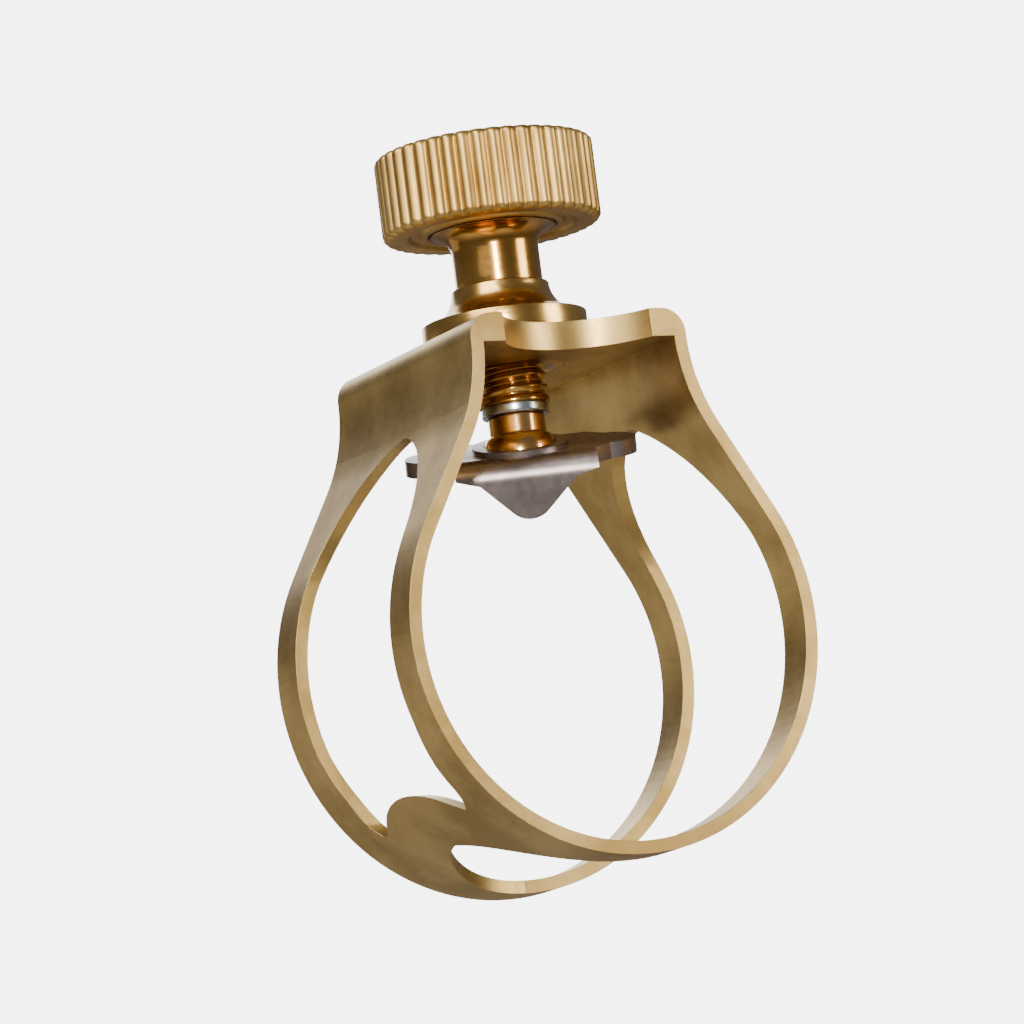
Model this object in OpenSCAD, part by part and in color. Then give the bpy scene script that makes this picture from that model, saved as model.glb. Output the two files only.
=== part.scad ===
// Single-screw reed ligature for a saxophone mouthpiece.
// Two brass loops hang from a bridge and pass round the mouthpiece. A thumb screw in the
// bridge drives a pressure plate, which swivels and rocks, down onto the reed.
// Millimetres. +Z is up along the screw, -Y is the mouthpiece's tip end, and the origin is
// on the axis of the mouthpiece, halfway along the ligature.

/* [Cage] */
// Inside diameter of the two loops
loop_bore = 23.6; // [22.8:0.1:24.6]
// Thickness of the loops, legs and side plates
wall = 0.75; // [0.7:0.05:1.0]
// Length of the ligature along the mouthpiece
cage_depth = 17; // [16:0.5:18]
// Lean of the legs away from the screw's axis, in degrees
leg_lean = 30; // [28:1:31]
// Half-width of the bridge
bridge_half = 6.7; // [6.4:0.1:6.8]
// Height of the bridge's top above the mouthpiece's axis
bridge_top = 17.7; // [17.5:0.1:18.4]
// Thickness of the bridge
bridge_t = 1.6; // [1.4:0.1:1.8]
// Width of the front and back legs along the mouthpiece
leg_w = 2.5; // [2.0:0.1:2.8]

/* [Screw] */
// Outer diameter of the metric thread
thread_d = 4.0; // [3.5:0.5:4.0]
// Diameter of the plain neck under the knob
neck_d = 4.9; // [4.6:0.1:4.9]
// Diameter of the knob over its ribs
knob_d = 12.4; // [11:0.2:14]
// Height of the knob
knob_h = 4.8; // [4:0.2:6]
// Number of ribs round the knob
knob_ribs = 42; // [36:2:48]
// Gap between the knob's underside and the bush
knob_lift = 3.2; // [2.8:0.1:3.6]

/* [Pressure plate] */
// Length of the plate from rounded end to rounded end
plate_l = 13.0; // [12:0.2:13.2]
// Width over the two side feet
plate_w = 7.4; // [7.4:0.2:8.0]
// Thickness of the plate
plate_t = 0.9; // [0.7:0.05:1.0]
// Height of the ball's centre, on which the plate rocks
ball_z = 11.3; // [11.1:0.1:11.5]
// Depth of the two pointed feet below the plate's top face
foot_drop = 3.4; // [3.2:0.1:3.8]
// Turn of the plate on the screw's tip from its place along the reed, in degrees
plate_turn = 66; // [-70:2:70]
// Tip of the plate on its ball, in degrees
plate_tip = 20; // [-21:1:21]

/* [Hidden] */
$fn = 96;
eps = 0.02;

// The cage's front outline: a ring, two straight legs tangent to it, and a shoulder that
// curves each leg up into the bridge.
loop_r = loop_bore / 2 + wall;
bridge_under = bridge_top - bridge_t;
corner_r = 1.4;
half_depth = cage_depth / 2;
shoulder_r = 10;
shoulder_x = bridge_half + shoulder_r;
arch_half = half_depth - leg_w;
arch_apex = -0.8;
arch_spring = 5.0;
arch_rise = 7.4;
lens_x = 7.1;
bend_z = (loop_r + shoulder_r - shoulder_x * cos(leg_lean)) / sin(leg_lean);

// The bush: a flared boss on the bridge with a shank through it.
bush_r = 4.65;
bush_lip_r = neck_d / 2 + 0.3;
bush_top = bridge_top + 3.2;
bush_shank_r = 3.0;
bush_under = bridge_under;
neck_fit = 0.06;
thread_fit = 0.05;
counterbore = 2.6;
flange_t = 1.3;
flare_z = bridge_top + flange_t;
flare_r = bush_r - bush_lip_r;

// The screw, from the knob down to its tip.
knob_z = bush_top + knob_lift;
neck_z = bush_top - 0.2;
tenon_r = 1.6;
tenon_h = 3.4;
journal_r = 1.1;
journal_fit = 0.05;
tip_z = ball_z - 1.75;
groove_r = 0.8;
clip_t = 0.35;
clip_z = ball_z - 1.4;
rib_h = 0.3;
rib_steps = 6;
rim = 0.25;
neck_fillet = 1.1;

// The stack on the screw's tip: a hub with a ball on it, and a washer on top of the hub.
hub_r = 1.6;
ball_r = 2.1;
ball_fit = 0.05;
ball_half = 1.0;
washer_r = 1.9;
washer_t = 0.6;
washer_z = ball_z + 2.2;
shoulder_z = washer_z + washer_t;

// The pressure plate, measured from the ball's centre.
boss_r = 2.7;
boss_half = 0.7;
end_r = 1.6;
foot_root = 4.0;
foot_tip = 1.4;
foot_flank = 1.7;
bend_r = 1.2;

brass = [0.80, 0.64, 0.34];
bright_brass = [0.86, 0.70, 0.38];
steel = [0.72, 0.74, 0.78];
nickel = [0.56, 0.53, 0.52];

// Front outline of one shell, its legs and shoulders, grown by d from the outer face.
module shell_outline(d, top) {
    r = loop_r + d;
    k = shoulder_r - d;
    leg = [shoulder_x - k * cos(leg_lean), bend_z - k * sin(leg_lean)];
    circle(r = r, $fn = 180);
    difference() {
        polygon([
            [r * cos(leg_lean), r * sin(leg_lean)], leg, [shoulder_x - k, bend_z],
            [shoulder_x - k, bend_z + 1], [k - shoulder_x, bend_z + 1],
            [k - shoulder_x, bend_z], [-leg[0], leg[1]],
            [-r * cos(leg_lean), r * sin(leg_lean)], [0, 0]
        ]);
        for (side = [-1, 1])
            translate([side * shoulder_x, bend_z]) circle(r = k, $fn = 240);
        translate([-shoulder_x, top]) square([2 * shoulder_x, 4]);
    }
}

// Front outline of the bridge's top, with rounded corners.
module bridge_outline() {
    low = bridge_top - corner_r;
    translate([corner_r - bridge_half, low - 1])
        square([2 * (bridge_half - corner_r), corner_r + 1]);
    for (side = [-1, 1])
        translate([side * (bridge_half - corner_r), low]) circle(r = corner_r, $fn = 48);
}

module cage_outline() {
    difference() {
        union() {
            shell_outline(0, bridge_top - corner_r);
            bridge_outline();
        }
        shell_outline(-wall, bridge_under);
    }
}

// Points of an arc round c from angle a0 to a1, in degrees.
function arc(c, r, a0, a1, steps) =
    [for (i = [0:steps]) c + r * [cos(a0 + (a1 - a0) * i / steps), sin(a0 + (a1 - a0) * i / steps)]];

// One side of a pointed arch: it springs at y = foot and its point is at y = apex.
function arch_side(foot, apex, spring, rise) =
    let (a = abs(foot - apex), c = (rise * rise - a * a) / (2 * a), s = sign(foot - apex))
    let (swing = 90 - atan(c / rise))
    s > 0 ? arc([apex - c, spring], a + c, 0, swing - 2, 14)
          : arc([apex + c, spring], a + c, 182 - swing, 180, 14);

// Left side opening seen along X: a pointed arch above, and below it two coves beside the
// web's rounded crest.
module left_opening_outline() {
    crest_z = -7.5;
    crest_r = 8.0;
    cove_r = 1.2;
    cove_y = arch_half - 0.35 - cove_r;
    polygon(concat(
        arch_side(arch_half, arch_apex, arch_spring, arch_rise),
        arch_side(-arch_half, arch_apex, arch_spring, arch_rise),
        [[-arch_half, -4.2], [-arch_half + 0.35, -6.6]],
        arc([-cove_y, -7.9], cove_r, 180, 250, 6),
        arc([0, crest_z - crest_r], crest_r, 113, 67, 12),
        arc([cove_y, -7.9], cove_r, 290, 360, 6),
        [[arch_half - 0.35, -6.6], [arch_half, -4.2]]
    ));
}

// Right side opening seen along X: the same arch, left open down to the bottom.
module right_opening_outline() {
    polygon(concat(
        arch_side(arch_half, arch_apex, arch_spring, arch_rise),
        arch_side(-arch_half, arch_apex, arch_spring, arch_rise),
        [[-arch_half, -loop_r - 1], [arch_half, -loop_r - 1]]
    ));
}

// Left end of the bottom opening, seen from below: a long lens that runs into the right
// side opening.
module lens_outline() {
    lens_y = arch_half - 0.05;
    lens_c = (lens_x * lens_x - lens_y * lens_y) / (2 * lens_y);
    intersection() {
        translate([0, -lens_c]) circle(r = lens_y + lens_c, $fn = 120);
        translate([0, lens_c]) circle(r = lens_y + lens_c, $fn = 120);
    }
}

module cage() {
    cove_r = 5.0;
    color(brass)
    difference() {
        rotate([90, 0, 0]) translate([0, 0, -half_depth])
            linear_extrude(height = cage_depth) cage_outline();
        rotate([90, 0, 90]) translate([0, 0, -loop_r - 1])
            linear_extrude(height = loop_r + 1) left_opening_outline();
        rotate([90, 0, 90])
            linear_extrude(height = loop_r + 1) right_opening_outline();
        translate([0, 0, -loop_r - 1])
            linear_extrude(height = loop_r) lens_outline();
        for (side = [-1, 1])
            translate([0, side * (half_depth + cove_r - 3.0), bridge_under - 2])
                cylinder(r = cove_r, h = 5);
        cylinder(r = bush_shank_r, h = bridge_top + 1, $fn = 72);
    }
}

module screw_bush() {
    color(bright_brass)
    rotate_extrude($fn = 120)
    difference() {
        union() {
            translate([0, bush_under]) square([bush_shank_r, bridge_top - bush_under + eps]);
            translate([0, bridge_top]) square([bush_r, flange_t]);
            difference() {
                translate([0, flare_z]) square([bush_r, bush_top - flare_z]);
                translate([bush_r, flare_z + flare_r]) circle(r = flare_r, $fn = 96);
                translate([bush_lip_r, flare_z + flare_r]) square([bush_r, bush_top]);
            }
        }
        translate([-1, bush_under - 1]) square([1 + thread_d / 2 + thread_fit, bush_top]);
        translate([-1, bush_top - counterbore]) square([1 + neck_d / 2 + neck_fit, bush_top]);
    }
}

module screw_spindle() {
    color(bright_brass)
    rotate_extrude($fn = 96)
    difference() {
        union() {
            translate([0, knob_z - eps]) square([tenon_r, tenon_h + eps]);
            translate([0, neck_z]) square([neck_d / 2, knob_z - neck_z]);
            translate([0, knob_z - neck_fillet]) square([neck_d / 2 + neck_fillet, neck_fillet]);
            translate([0, shoulder_z]) square([thread_d / 2, neck_z - shoulder_z + eps]);
            translate([0, tip_z]) square([journal_r, shoulder_z - tip_z + eps]);
        }
        translate([neck_d / 2 + neck_fillet, knob_z - neck_fillet]) circle(r = neck_fillet, $fn = 48);
        translate([groove_r, clip_z - 0.02]) square([1, clip_t + 0.04]);
        translate([-5, tip_z - 1]) square([5, 30]);
    }
}

// Outline of the knob's ribs: round ribs side by side, with a valley between each pair.
module rib_outline(valley_r) {
    step = 360 / knob_ribs;
    polygon([
        for (i = [0:knob_ribs - 1], k = [0:rib_steps - 1])
            let (swell = sin(180 * (k + 0.5) / rib_steps))
            (valley_r + rib_h * swell) * [cos(step * (i + k / rib_steps)), sin(step * (i + k / rib_steps))]
    ]);
}

module thumb_knob() {
    valley_r = knob_d / 2 - rib_h;
    core_r = valley_r - 0.05;
    recess_r = neck_d / 2 + neck_fillet;
    color(brass)
    difference() {
        translate([0, 0, knob_z]) union() {
            rotate_extrude($fn = 120) polygon([
                [0, 0], [core_r - rim, 0], [core_r, rim],
                [core_r, knob_h - rim], [core_r - rim, knob_h], [0, knob_h]
            ]);
            translate([0, 0, rim]) linear_extrude(height = knob_h - 2 * rim) rib_outline(valley_r);
        }
        translate([0, 0, knob_z - 1]) cylinder(r = tenon_r, h = 1 + tenon_h, $fn = 72);
        translate([0, 0, knob_z]) rotate_extrude($fn = 120)
            polygon([[recess_r, -1], [core_r - 1.4, -1], [core_r - 1.4, 0], [recess_r + 0.9, 0.4], [recess_r, 0.4]]);
    }
}

// A flat ring from z to z + h.
module ring(outer, inner, z, h) {
    translate([0, 0, z])
    difference() {
        cylinder(r = outer, h = h, $fn = 72);
        translate([0, 0, -1]) cylinder(r = inner, h = h + 2, $fn = 72);
    }
}

module thrust_washer() {
    color(steel) ring(washer_r, journal_r + journal_fit, washer_z, washer_t);
}

module plate_hub() {
    color(bright_brass)
    rotate_extrude($fn = 96)
    difference() {
        union() {
            intersection() {
                translate([0, ball_z]) circle(r = ball_r, $fn = 96);
                translate([0, ball_z - ball_half]) square([ball_r + 1, 2 * ball_half]);
            }
            translate([0, ball_z]) square([hub_r, washer_z - ball_z]);
        }
        translate([-5, ball_z - 5]) square([5 + journal_r + journal_fit, 12]);
    }
}

module retaining_clip() {
    color(steel)
    difference() {
        ring(1.6, groove_r, clip_z, clip_t);
        translate([0, -groove_r, clip_z - 1]) cube([4, 2 * groove_r, 3]);
    }
}

// Section across the plate's middle: a web with both sides bent down.
module plate_section() {
    half = plate_w / 2;
    top = plate_t / 2;
    low = top - foot_drop;
    difference() {
        union() {
            translate([-half, low]) square([plate_w, foot_drop - bend_r]);
            translate([bend_r - half, low]) square([plate_w - 2 * bend_r, foot_drop]);
            for (side = [-1, 1])
                translate([side * (half - bend_r), top - bend_r]) circle(r = bend_r, $fn = 48);
        }
        translate([plate_t - half, low - 1]) square([plate_w - 2 * plate_t, foot_drop + 1 - bend_r]);
        translate([bend_r - half, low - 1])
            square([plate_w - 2 * bend_r, foot_drop + 1 - plate_t]);
        for (side = [-1, 1])
            translate([side * (half - bend_r), top - bend_r]) circle(r = bend_r - plate_t, $fn = 32);
    }
}

// The feet seen from the side: a broad root, two flanks at 45 degrees and a round tip.
module feet_outline() {
    top = plate_t / 2;
    low = top - foot_drop;
    k = foot_tip * sin(45);
    flank_z = low + foot_tip - k;
    translate([0, low + foot_tip]) circle(r = foot_tip, $fn = 32);
    polygon([
        [-k, flank_z], [k, flank_z], [k + foot_flank, flank_z + foot_flank],
        [foot_root, -top], [foot_root, top], [-foot_root, top],
        [-foot_root, -top], [-k - foot_flank, flank_z + foot_flank]
    ]);
}

// Outline of the plate seen from above: a broad middle and two tapered round ends.
module plate_outline() {
    reach = plate_l / 2 - end_r;
    half = plate_w / 2 - bend_r;
    polygon([
        [-end_r, -reach], [end_r, -reach], [half, -foot_root], [half, foot_root],
        [end_r, reach], [-end_r, reach], [-half, foot_root], [-half, -foot_root]
    ]);
    for (side = [-1, 1])
        translate([0, side * reach]) circle(r = end_r, $fn = 48);
}

module pressure_plate() {
    color(nickel)
    translate([0, 0, ball_z]) rotate(plate_turn) rotate([0, -plate_tip, 0])
    difference() {
        union() {
            intersection() {
                rotate([90, 0, 0]) translate([0, 0, -foot_root - 1])
                    linear_extrude(height = 2 * foot_root + 2) plate_section();
                rotate([90, 0, 90]) translate([0, 0, -plate_w])
                    linear_extrude(height = 2 * plate_w) feet_outline();
            }
            translate([0, 0, -plate_t / 2]) linear_extrude(height = plate_t) plate_outline();
            translate([0, 0, -boss_half]) cylinder(r = boss_r, h = 2 * boss_half, $fn = 96);
        }
        rotate_extrude($fn = 96)
            intersection() {
                circle(r = ball_r + ball_fit, $fn = 96);
                translate([0, -ball_r]) square([ball_r + 1, 2 * ball_r]);
            }
    }
}

cage();
screw_bush();
screw_spindle();
thumb_knob();
thrust_washer();
plate_hub();
pressure_plate();
retaining_clip();
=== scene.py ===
# %% [markdown]
# # A single-screw reed ligature
# A ligature holds a reed on a saxophone mouthpiece. Two brass loops pass round the
# mouthpiece, and a thumb screw in the bridge above them drives a pressure plate down onto
# the reed.

# %% Load the frame
import math

import bmesh
import bpy
import numpy as np
from mathutils import Matrix, Vector


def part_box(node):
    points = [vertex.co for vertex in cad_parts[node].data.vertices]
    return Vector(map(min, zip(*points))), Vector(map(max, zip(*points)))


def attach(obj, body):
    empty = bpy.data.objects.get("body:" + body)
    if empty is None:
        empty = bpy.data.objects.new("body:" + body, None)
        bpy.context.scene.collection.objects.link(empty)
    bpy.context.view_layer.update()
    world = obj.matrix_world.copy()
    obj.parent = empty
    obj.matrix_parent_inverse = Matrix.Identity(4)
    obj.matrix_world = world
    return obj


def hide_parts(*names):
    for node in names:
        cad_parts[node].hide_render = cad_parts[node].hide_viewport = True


MM = 0.001
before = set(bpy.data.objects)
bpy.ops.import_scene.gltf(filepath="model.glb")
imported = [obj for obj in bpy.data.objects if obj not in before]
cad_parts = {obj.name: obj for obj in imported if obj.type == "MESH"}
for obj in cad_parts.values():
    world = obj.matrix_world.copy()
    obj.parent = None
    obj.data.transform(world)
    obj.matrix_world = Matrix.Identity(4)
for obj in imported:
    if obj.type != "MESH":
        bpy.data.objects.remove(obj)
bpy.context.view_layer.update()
print("nodes:", sorted(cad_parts))


def span(node):
    """A node's lowest and highest corners in millimetres, as two arrays."""
    lo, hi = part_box(node)
    return np.array(lo) / MM, np.array(hi) / MM


# %% [markdown]
# ## Shared values
# The turned parts stand on the screw's axis, so their heights and outer radii are read
# from the boxes of the CAD nodes: a radius is the box's reach along X. The radii that no
# box shows are stated after them, in millimetres.

# %% Heights and radii from the CAD boxes
bush_lo, bush_hi = span("screw_bush")
spindle_lo, spindle_hi = span("screw_spindle")
knob_lo, knob_hi = span("thumb_knob")
washer_lo, washer_hi = span("thrust_washer")
hub_lo, hub_hi = span("plate_hub")
clip_lo, clip_hi = span("retaining_clip")
bridge_top = span("cage")[1][2]

bush_r = bush_hi[0]
knob_r = knob_hi[0]
washer_r = washer_hi[0]
ball_r = hub_hi[0]
thread_r = 2.0
neck_r = 2.45
neck_fillet = 1.1
journal_r = 1.1
groove_r = 0.8
tenon_r = 1.6
print("bridge top %.2f, knob from %.2f to %.2f mm" % (bridge_top, knob_lo[2], knob_hi[2]))

# %% [markdown]
# ## Surfaces of revolution
# Most of the parts were turned on a lathe, so most pieces here are one profile carried
# round the screw's axis. A grid function keeps that idea in one place: it takes whole
# arrays of radius and height, and joins neighbours into quads with array arithmetic.


# %% Grid and lathe helpers
def grid_mesh(name, x, y, z):
    """A closed-round mesh from arrays of shape (rings, columns), in millimetres.

    Column j + 1 follows column j round the axis, and the last joins the first."""
    rings, cols = x.shape
    points = np.stack([x, y, z], axis=-1).reshape(-1, 3) * MM
    i, j = np.meshgrid(np.arange(rings - 1), np.arange(cols), indexing="ij")
    up, over = i + 1, (j + 1) % cols
    faces = np.stack([i * cols + j, i * cols + over, up * cols + over, up * cols + j], -1)
    mesh = bpy.data.meshes.new(name)
    mesh.from_pydata(points.tolist(), [], faces.reshape(-1, 4).tolist())
    obj = bpy.data.objects.new(name, mesh)
    bpy.context.collection.objects.link(obj)
    weld_and_face_out(mesh)
    mesh.polygons.foreach_set("use_smooth", np.ones(len(mesh.polygons), bool))
    return obj


def weld_and_face_out(mesh):
    """Merges the points that meet at a pole or a seam, and turns the faces outwards."""
    form = bmesh.new()
    form.from_mesh(mesh)
    bmesh.ops.remove_doubles(form, verts=form.verts, dist=1e-7)
    bmesh.ops.dissolve_degenerate(form, edges=form.edges, dist=1e-8)
    bmesh.ops.recalc_face_normals(form, faces=form.faces)
    form.to_mesh(mesh)
    form.free()


def rounded(profile, radius, steps=5):
    """A profile with its sharp corners rounded.

    At each inner corner, two points stand off by radius along the edges (less where an
    edge is short), and a quadratic curve through the corner's pull joins them."""
    points = [np.array(p, float) for p in profile]
    out = [points[0]]
    for before, here, after in zip(points, points[1:], points[2:]):
        to_before, to_after = before - here, after - here
        reach = min(radius, 0.45 * np.linalg.norm(to_before), 0.45 * np.linalg.norm(to_after))
        start = here + to_before / np.linalg.norm(to_before) * reach
        end = here + to_after / np.linalg.norm(to_after) * reach
        for t in np.linspace(0, 1, steps):
            out.append((1 - t) ** 2 * start + 2 * t * (1 - t) * here + t * t * end)
    out.append(points[-1])
    return np.array(out)


def lathe(name, profile, columns=96):
    """A profile of (radius, height) points carried once round the Z axis."""
    profile = np.asarray(profile, float)
    turn = np.linspace(0, 2 * np.pi, columns, endpoint=False)
    r, z = profile[:, :1], profile[:, 1:]
    return grid_mesh(name, r * np.cos(turn), r * np.sin(turn), z + 0 * turn)


print("lathe helpers ready")

# %% [markdown]
# ## The thumb knob
# The knob is a brass disc with a coarse straight knurl: round ribs side by side that run
# from a chamfer under the knob to a rounded top edge. The radius is a function of the angle
# and the height. Round the knob it swells and sinks once per rib, and near both ends the
# ribs fade into the chamfers. A modifier could repeat one rib, but a formula keeps the
# surface closed and gives every rib the same smooth fade.

# %% Knob surface
rib_count = 42
rib_depth = 0.3
fade_width = 0.42
wall_rings = 14
knob_h = knob_hi[2] - knob_lo[2]
rim = 0.25


def knob_surface():
    """Radius = profile radius + rib depth * |cos(rib count * angle / 2)| ** 0.8, faded to
    nothing where the profile leaves the side wall."""
    valley = knob_r - rib_depth
    under = knob_lo[2]
    outline = rounded(
        [
            (0, under + 0.5), (neck_r + neck_fillet, under + 0.5),
            (neck_r + neck_fillet + 0.1, under + 0.02),
            (neck_r + 1.55, under + 0.02), (neck_r + 1.75, under + 0.35),
            (valley - 1.25, under + 0.35), (valley - 1.1, under + 0.02),
            (valley - rim, under), (valley, under + rim),
            (valley, under + knob_h - rim), (valley - rim, under + knob_h - 0.02),
            (valley - 1.3, under + knob_h), (valley - 1.7, under + knob_h - 0.12),
            (0, under + knob_h - 0.12),
        ],
        0.28, 6,
    )
    wall_z = np.linspace(under + rim + 0.3, under + knob_h - rim - 0.3, wall_rings)
    cut = int(np.argmin(np.abs(outline[:, 1] - wall_z[0]) + np.abs(outline[:, 0] - valley)))
    wall = np.c_[np.full(wall_rings, valley), wall_z]
    outline = np.vstack([outline[: cut + 1], wall, outline[cut + 1:]])
    turn = np.linspace(0, 2 * np.pi, rib_count * 12, endpoint=False)
    r, z = outline[:, :1], outline[:, 1:]
    swell = np.abs(np.cos(rib_count * turn / 2)) ** 0.8
    from_wall = np.clip((r - (valley - fade_width)) / fade_width, 0, 1)
    fade = np.sqrt(np.clip(1 - (1 - from_wall) ** 2, 0, 1)) * (from_wall > 0)
    radius = r + rib_depth * swell * fade
    return grid_mesh("knob_ribbed", radius * np.cos(turn), radius * np.sin(turn), z + 0 * turn)


knob = knob_surface()
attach(knob, "screw")
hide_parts("thumb_knob")
print("knob:", len(knob.data.polygons), "faces")

# %% [markdown]
# ## The screw
# Below the knob a plain neck flares out into the knob's underside. Under the neck is the
# thread, and under that the thin journal that carries the hub. The thread is a helix: on a
# grid of angle and height, the radius depends on height minus the lead times the turn, so
# one triangle wave, with its crests blunted, draws the whole thread.

# %% Threaded spindle
lead = 0.7
thread_depth = 0.3
thread_rings = 190


def spindle_surface():
    """Radius = outline's radius, less the thread depth times a blunted triangle wave of
    (height / lead - angle / full turn), faded in over one lead at both ends."""
    knob_z, neck_z = knob_lo[2], bush_hi[2] - 0.2
    shoulder_z, tip_z = washer_hi[2], spindle_lo[2]
    top = spindle_hi[2]
    outline = rounded(
        [
            (0, tip_z), (journal_r, tip_z), (journal_r, clip_lo[2] - 0.02),
            (groove_r, clip_lo[2] - 0.02), (groove_r, clip_hi[2] + 0.02),
            (journal_r, clip_hi[2] + 0.02), (journal_r, shoulder_z), (thread_r, shoulder_z),
        ],
        0.08, 3,
    )
    thread_z = np.linspace(shoulder_z + 0.05, neck_z - 0.05, thread_rings)
    flare = np.linspace(0, np.pi / 2, 12)
    neck = np.vstack([
        rounded([(thread_r, neck_z), (neck_r, neck_z), (neck_r, neck_z + 0.6)], 0.12, 4),
        np.c_[np.full(6, neck_r), np.linspace(neck_z + 0.8, knob_z - 1.15, 6)],
        np.c_[neck_r + neck_fillet * (1 - np.cos(flare)),
              knob_z - neck_fillet * (1 - np.sin(flare))],
        [(tenon_r, knob_z), (tenon_r, top), (0, top)],
    ])
    outline = np.vstack([outline, np.c_[np.full(thread_rings, thread_r), thread_z], neck])
    turn = np.linspace(0, 2 * np.pi, 96, endpoint=False)
    r, z = outline[:, :1], outline[:, 1:]
    wave = np.abs(((z / lead - turn / (2 * np.pi)) % 1) * 2 - 1)
    wave = np.clip((wave - 0.14) / 0.72, 0, 1)
    ends = np.clip((z - shoulder_z - 0.1) / lead, 0, 1) * np.clip((neck_z - 0.1 - z) / lead, 0, 1)
    on_thread = (np.abs(r - thread_r) < 1e-6) * ends
    radius = r - thread_depth * wave * on_thread
    return grid_mesh("screw_threaded", radius * np.cos(turn), radius * np.sin(turn),
                     z + 0 * turn)


spindle = spindle_surface()
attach(spindle, "screw")
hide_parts("screw_spindle")
print("spindle:", len(spindle.data.polygons), "faces")

# %% [markdown]
# ## The bush
# The bush is a turned boss pressed into the bridge. It sweeps out from a narrow lip to a
# broad flange, and a shank passes through the bridge. It is one closed profile, out along
# the outside and back up the bore.

# %% Bush
def bush_profile():
    """Out over the lip, down a quarter-circle flare to the flange, down the shank, and
    back up the threaded bore and the counterbore."""
    top, under = bush_hi[2], bush_lo[2]
    lip = neck_r + 0.3
    flare = bush_r - lip
    sweep = np.linspace(np.pi, 1.5 * np.pi, 24)
    base = bridge_top + 1.3
    curve = np.c_[bush_r + flare * np.cos(sweep), base + flare + flare * np.sin(sweep)]
    lip_edge = rounded([(neck_r + 0.06, top), (lip, top), curve[2]], 0.12, 4)
    flange = rounded([curve[-2], (bush_r, base), (bush_r, bridge_top), (3.0, bridge_top),
                      (3.0, under), (thread_r + 0.05, under)], 0.1, 4)
    bore = [(thread_r + 0.05, top - 2.6), (neck_r + 0.06, top - 2.6), (neck_r + 0.06, top)]
    return np.vstack([lip_edge, curve[3:-2], flange, bore])


bush = lathe("bush_flared", bush_profile())
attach(bush, "frame")
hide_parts("screw_bush")
print("bush:", len(bush.data.polygons), "faces")

# %% [markdown]
# ## Washer, hub and clip
# A bright steel washer sits on the hub, the hub's ball carries the plate, and a spring clip
# below keeps them all on the screw. The first two are lathe profiles. The clip is open on
# one side, so its section is carried along part of a circle and capped at both ends.

# %% Washer and hub
bore_r = journal_r + 0.05
washer = lathe("washer_flat", rounded(
    [(bore_r, washer_lo[2]), (washer_r, washer_lo[2]), (washer_r, washer_hi[2]),
     (bore_r, washer_hi[2]), (bore_r, washer_lo[2])], 0.14, 5))
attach(washer, "carrier")
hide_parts("thrust_washer")


def hub_profile():
    """The ball's arc from its lower to its upper edge, then the straight collar, whose
    top stays 0.01 mm clear of the washer so that the two can turn on each other."""
    ball_z, top = hub_hi[2] - 2.2, hub_hi[2] - 0.01
    half, collar_r = 1.0, 1.6
    arc = np.linspace(-math.asin(half / ball_r), math.asin(half / ball_r), 24)
    ball = np.c_[ball_r * np.cos(arc), ball_z + ball_r * np.sin(arc)]
    collar = rounded([ball[-1], (collar_r, ball_z + half + 0.05), (collar_r, top),
                      (bore_r, top)], 0.15, 5)
    return np.vstack([[(bore_r, hub_lo[2])], ball, collar[1:], [(bore_r, hub_lo[2])]])


hub = lathe("hub_collar", hub_profile())
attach(hub, "swivel")
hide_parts("plate_hub")
print("washer and hub:", len(washer.data.polygons), len(hub.data.polygons), "faces")


# %% Spring clip
def clip_surface():
    """A rounded rectangle carried along an open circle. The gap's half-angle is where the
    clip's mouth, as wide as the groove, meets the mean radius. Both ends shrink to a
    point on their own plane, which caps them."""
    outer, inner = clip_hi[1], groove_r
    mean, half_w = (outer + inner) / 2, (outer - inner) / 2
    mid_z, half_h = (clip_lo[2] + clip_hi[2]) / 2, (clip_hi[2] - clip_lo[2]) / 2
    gap = math.asin(inner / mean)
    around = np.linspace(0, 2 * np.pi, 32, endpoint=False)
    side = np.sign(np.cos(around)) * np.abs(np.cos(around)) ** 0.35 * half_w
    rise = np.sign(np.sin(around)) * np.abs(np.sin(around)) ** 0.35 * half_h
    along = np.linspace(gap, 2 * np.pi - gap, 72)
    shrink = np.ones(len(along) + 2)
    shrink[0] = shrink[-1] = 0
    along = np.r_[along[0], along, along[-1]][:, None]
    r = mean + shrink[:, None] * side
    return grid_mesh("clip_spring", r * np.cos(along), r * np.sin(along),
                     mid_z + shrink[:, None] * rise)


clip = clip_surface()
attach(clip, "screw")
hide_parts("retaining_clip")
print("clip:", len(clip.data.polygons), "faces")

# %% [markdown]
# ## The cage and the plate
# The cage was cut from brass sheet, bent and polished, so its outline is exact but its
# edges are slightly round. The CAD already has the outline, so a merged copy of its mesh
# gets a small bevel on the sharp edges, which is what catches the light on the real part.
# The bevel hardens the normals: a face keeps its own shading right up to the bevel, so
# flat legs stay flat and run smoothly into the round loops.


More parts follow.
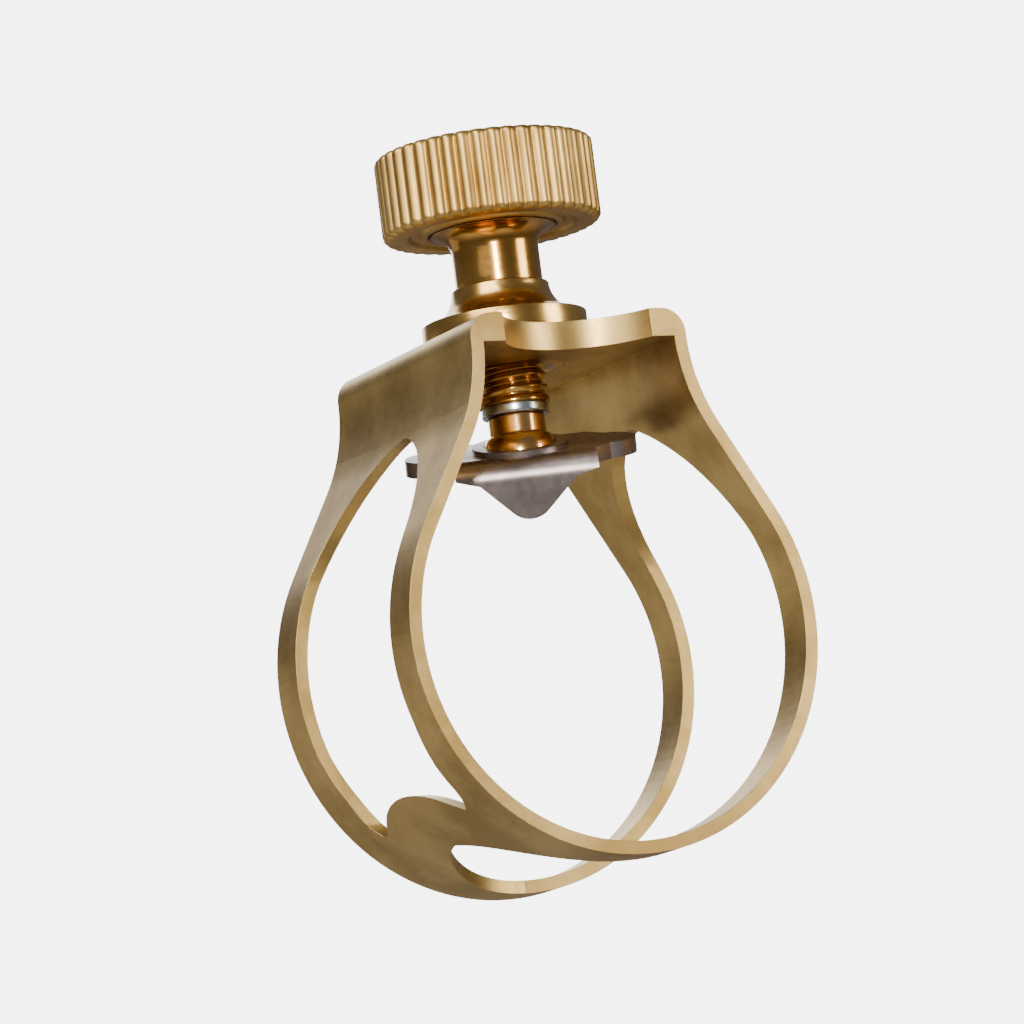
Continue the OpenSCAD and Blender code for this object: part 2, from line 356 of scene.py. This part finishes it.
# %% Softened copies of the cage and the plate
def softened(node, name, width_mm, angle_deg=32):
    """A merged copy of a CAD node's mesh with its sharp edges rounded by a bevel."""
    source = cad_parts[node]
    mesh = source.data.copy()
    mesh.name = name
    mesh.materials.clear()
    form = bmesh.new()
    form.from_mesh(mesh)
    bmesh.ops.remove_doubles(form, verts=form.verts, dist=2e-7)
    bmesh.ops.dissolve_limit(form, angle_limit=math.radians(0.5), verts=form.verts,
                             edges=form.edges)
    form.to_mesh(mesh)
    form.free()
    obj = bpy.data.objects.new(name, mesh)
    bpy.context.collection.objects.link(obj)
    mesh.polygons.foreach_set("use_smooth", np.ones(len(mesh.polygons), bool))
    mesh.set_sharp_from_angle(angle=math.radians(angle_deg))
    bevel = obj.modifiers.new("edge_round", "BEVEL")
    bevel.width = width_mm * MM
    bevel.segments = 3
    bevel.limit_method = "ANGLE"
    bevel.angle_limit = math.radians(angle_deg)
    bevel.harden_normals = True
    return obj


cage = softened("cage", "cage_polished", 0.16)
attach(cage, "frame")
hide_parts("cage")
plate = softened("pressure_plate", "plate_winged", 0.14)
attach(plate, "plate")
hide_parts("pressure_plate")
print("cage:", len(cage.data.polygons), "faces; plate:", len(plate.data.polygons), "faces")

# %% [markdown]
# ## Metals
# Lacquered brass is never one colour. It is a warm metal whose tint and gloss drift slowly,
# with fine polishing lines and, where fingers and the mouthpiece rub it, paler edges.
# Each metal here is one Principled shader: slow noise mixes two tints, finer noise moves
# the roughness, and a very fine noise makes the bump.


# %% Metal material helper
def metal(name, tint, deep, rough, grain=(1, 1, 1), mottling=180.0, wear=0.5):
    """A metal whose colour runs from deep to tint with a slow noise, whose roughness runs
    from rough[0] to rough[1], and whose fine bump is stretched by grain."""
    mat = bpy.data.materials.new(name)
    mat.use_nodes = True
    nodes, links = mat.node_tree.nodes, mat.node_tree.links
    shader = nodes["Principled BSDF"]
    shader.inputs["Metallic"].default_value = 1.0
    place = nodes.new("ShaderNodeTexCoord")

    slow = nodes.new("ShaderNodeTexNoise")
    slow.inputs["Scale"].default_value = mottling
    slow.inputs["Detail"].default_value = 5.0
    slow.inputs["Roughness"].default_value = 0.6
    links.new(place.outputs["Object"], slow.inputs["Vector"])
    spread = nodes.new("ShaderNodeMapRange")
    spread.inputs["From Min"].default_value = 0.5 - 0.25 * wear
    spread.inputs["From Max"].default_value = 0.5 + 0.25 * wear
    links.new(slow.outputs["Fac"], spread.inputs["Value"])
    blend = nodes.new("ShaderNodeMix")
    blend.data_type = "RGBA"
    blend.inputs["A"].default_value = (*deep, 1)
    blend.inputs["B"].default_value = (*tint, 1)
    links.new(spread.outputs["Result"], blend.inputs["Factor"])
    links.new(blend.outputs["Result"], shader.inputs["Base Color"])

    stretch = nodes.new("ShaderNodeMapping")
    stretch.inputs["Scale"].default_value = grain
    links.new(place.outputs["Object"], stretch.inputs["Vector"])
    fine = nodes.new("ShaderNodeTexNoise")
    fine.inputs["Scale"].default_value = 2600.0
    fine.inputs["Detail"].default_value = 4.0
    links.new(stretch.outputs["Vector"], fine.inputs["Vector"])
    gloss = nodes.new("ShaderNodeMapRange")
    gloss.inputs["To Min"].default_value = rough[0]
    gloss.inputs["To Max"].default_value = rough[1]
    links.new(fine.outputs["Fac"], gloss.inputs["Value"])
    links.new(gloss.outputs["Result"], shader.inputs["Roughness"])
    bump = nodes.new("ShaderNodeBump")
    bump.inputs["Strength"].default_value = 0.12
    bump.inputs["Distance"].default_value = 0.00003
    links.new(fine.outputs["Fac"], bump.inputs["Height"])
    links.new(bump.outputs["Normal"], shader.inputs["Normal"])
    return mat


print("metal helper ready")

# %% [markdown]
# The cage is worn brass with a greenish, slightly grey cast. The knob is the same brass with
# warmer lacquer, and the turned parts are brighter and redder because they are newer cuts.
# The plate is dull nickel, and the washer and clip are bright steel.

# %% Finishes
cage_brass = metal("cage_brass_worn", (0.60, 0.415, 0.15), (0.40, 0.26, 0.08), (0.32, 0.46),
                   grain=(1, 5, 1))
knob_brass = metal("knob_brass_lacquered", (0.58, 0.38, 0.12), (0.42, 0.25, 0.07),
                   (0.36, 0.48), grain=(1, 1, 0.2))
bush_brass = metal("bush_brass_turned", (0.66, 0.41, 0.13), (0.44, 0.25, 0.06),
                   (0.16, 0.28), grain=(0.3, 0.3, 6))
screw_brass = metal("screw_brass_turned", (0.66, 0.37, 0.10), (0.42, 0.20, 0.04),
                    (0.12, 0.24), grain=(0.3, 0.3, 6))
hub_brass = metal("hub_brass_bright", (0.84, 0.50, 0.19), (0.66, 0.34, 0.10),
                  (0.12, 0.22), grain=(0.3, 0.3, 6))
plate_nickel = metal("plate_nickel_dull", (0.44, 0.37, 0.355), (0.28, 0.235, 0.23),
                     (0.26, 0.42), mottling=320.0)
washer_steel = metal("washer_steel_bright", (0.62, 0.66, 0.74), (0.45, 0.49, 0.56),
                     (0.18, 0.30))
clip_steel = metal("clip_steel_spring", (0.52, 0.54, 0.58), (0.36, 0.38, 0.42),
                   (0.20, 0.34))
finishes = {
    cage: cage_brass, knob: knob_brass, bush: bush_brass, spindle: screw_brass,
    hub: hub_brass, plate: plate_nickel, washer: washer_steel, clip: clip_steel,
}
for piece, finish in finishes.items():
    piece.data.materials.clear()
    piece.data.materials.append(finish)
print("finishes:", len(finishes))

# %% [markdown]
# ## Camera
# The ligature is looked at from below and from its left front. The camera's axes come
# from three angles: its turn about the part, its height and its roll. Its place comes from
# its distance and from a small shift that sets the part in the frame, in millimetres. The
# lens is long enough for the frame to be view_width across at the part.

# %% Camera
view_turn, view_height, view_roll = (math.radians(v) for v in (-28.0, -9.0, 7.2))
view_distance, shift_right, shift_up = 390.0, 1.90, -7.91
view_width, sensor_width = 56.89, 36.0
back = Vector((math.sin(view_turn) * math.cos(view_height),
               -math.cos(view_turn) * math.cos(view_height), math.sin(view_height)))
right = Vector((math.cos(view_turn), math.sin(view_turn), 0))
up = back.cross(right)
cos_roll, sin_roll = math.cos(view_roll), math.sin(view_roll)
right, up = right * cos_roll - up * sin_roll, right * sin_roll + up * cos_roll
place = (back * view_distance - right * shift_right - up * shift_up) * MM
cam_data = bpy.data.cameras.new("camera")
cam_data.lens = sensor_width * view_distance / view_width
cam_data.sensor_width = sensor_width
cam_data.clip_start, cam_data.clip_end = 0.01, 20
camera = bpy.data.objects.new("camera", cam_data)
bpy.context.collection.objects.link(camera)
turn_to = Matrix((right, up, back)).transposed()
camera.matrix_world = Matrix.Translation(place) @ turn_to.to_4x4()
bpy.context.scene.camera = camera
print("camera at", [round(v / MM, 1) for v in place], "mm, lens %.1f mm" % cam_data.lens)

# %% [markdown]
# ## Floor and light
# Polished brass shows the room it is in more than its own colour. So the studio is pale
# but not even: a wide soft light on the left, a smaller one on the right, a narrow one in
# front that draws a bright line down the screw, and two behind that the outer faces
# reflect. A dim surround leaves the darks dark. The floor lies far below, because the part
# is looked at from underneath.

# %% Floor
# Only the camera sees the floor glow, so it looks pale but lights nothing.
floor_z, floor_half = -0.45, 3.0
floor_mesh = bpy.data.meshes.new("floor")
floor_mesh.from_pydata([(-floor_half, -floor_half, floor_z), (floor_half, -floor_half, floor_z),
                        (floor_half, floor_half, floor_z), (-floor_half, floor_half, floor_z)],
                       [], [(0, 1, 2, 3)])
floor = bpy.data.objects.new("floor", floor_mesh)
bpy.context.collection.objects.link(floor)
floor_paint = bpy.data.materials.new("floor_pale")
floor_paint.use_nodes = True
floor_nodes, floor_links = floor_paint.node_tree.nodes, floor_paint.node_tree.links
floor_shader = floor_nodes["Principled BSDF"]
floor_shader.inputs["Base Color"].default_value = (0.80, 0.79, 0.77, 1)
floor_shader.inputs["Roughness"].default_value = 0.8
floor_shader.inputs["Emission Color"].default_value = (1.0, 0.99, 0.97, 1)
floor_seen = floor_nodes.new("ShaderNodeLightPath")
floor_glow = floor_nodes.new("ShaderNodeMath")
floor_glow.operation = "MULTIPLY"
floor_glow.inputs[1].default_value = 3.0
floor_links.new(floor_seen.outputs["Is Camera Ray"], floor_glow.inputs[0])
floor_links.new(floor_glow.outputs["Value"], floor_shader.inputs["Emission Strength"])
floor_mesh.materials.append(floor_paint)


# %% Lights
def soft_light(name, direction, distance, size, power, colour):
    """A square area light at a distance along a direction, facing the part's middle."""
    data = bpy.data.lights.new(name, "AREA")
    data.shape, data.size, data.energy, data.color = "SQUARE", size, power, colour
    light = bpy.data.objects.new(name, data)
    bpy.context.collection.objects.link(light)
    aim = Vector(direction).normalized()
    light.location = aim * distance + Vector((0, 0, 0.008))
    light.rotation_euler = aim.to_track_quat("Z", "Y").to_euler()
    return light


soft_light("key", (-0.9, -0.6, 0.8), 0.55, 0.34, 4.2, (1.0, 0.97, 0.92))
soft_light("right_fill", (0.9, -0.9, 0.25), 0.60, 0.22, 1.9, (1.0, 0.95, 0.88))
soft_light("front_strip", (-0.47, -0.87, 0.16), 0.55, 0.04, 2.2, (1.0, 0.96, 0.90))
soft_light("back_rim", (0.3, 1.0, 0.5), 0.60, 0.40, 1.8, (0.95, 0.97, 1.0))
soft_light("back_left", (-0.50, 0.87, -0.15), 0.60, 0.36, 0.22, (1.0, 0.97, 0.90))

# The camera sees white paper behind the part, and every other ray sees a dim grey room.
world = bpy.data.worlds.new("studio")
bpy.context.scene.world = world
world.use_nodes = True
world_nodes, world_links = world.node_tree.nodes, world.node_tree.links
world_nodes["Background"].inputs["Color"].default_value = (0.17, 0.165, 0.16, 1)
world_nodes["Background"].inputs["Strength"].default_value = 1.0
paper = world_nodes.new("ShaderNodeBackground")
paper.inputs["Color"].default_value = (1.0, 1.0, 1.0, 1)
paper.inputs["Strength"].default_value = 6.0
seen = world_nodes.new("ShaderNodeLightPath")
choose = world_nodes.new("ShaderNodeMixShader")
world_links.new(seen.outputs["Is Camera Ray"], choose.inputs["Fac"])
world_links.new(world_nodes["Background"].outputs["Background"], choose.inputs[1])
world_links.new(paper.outputs["Background"], choose.inputs[2])
world_links.new(choose.outputs["Shader"], world_nodes["World Output"].inputs["Surface"])

# %% Update the scene
bpy.context.view_layer.update()
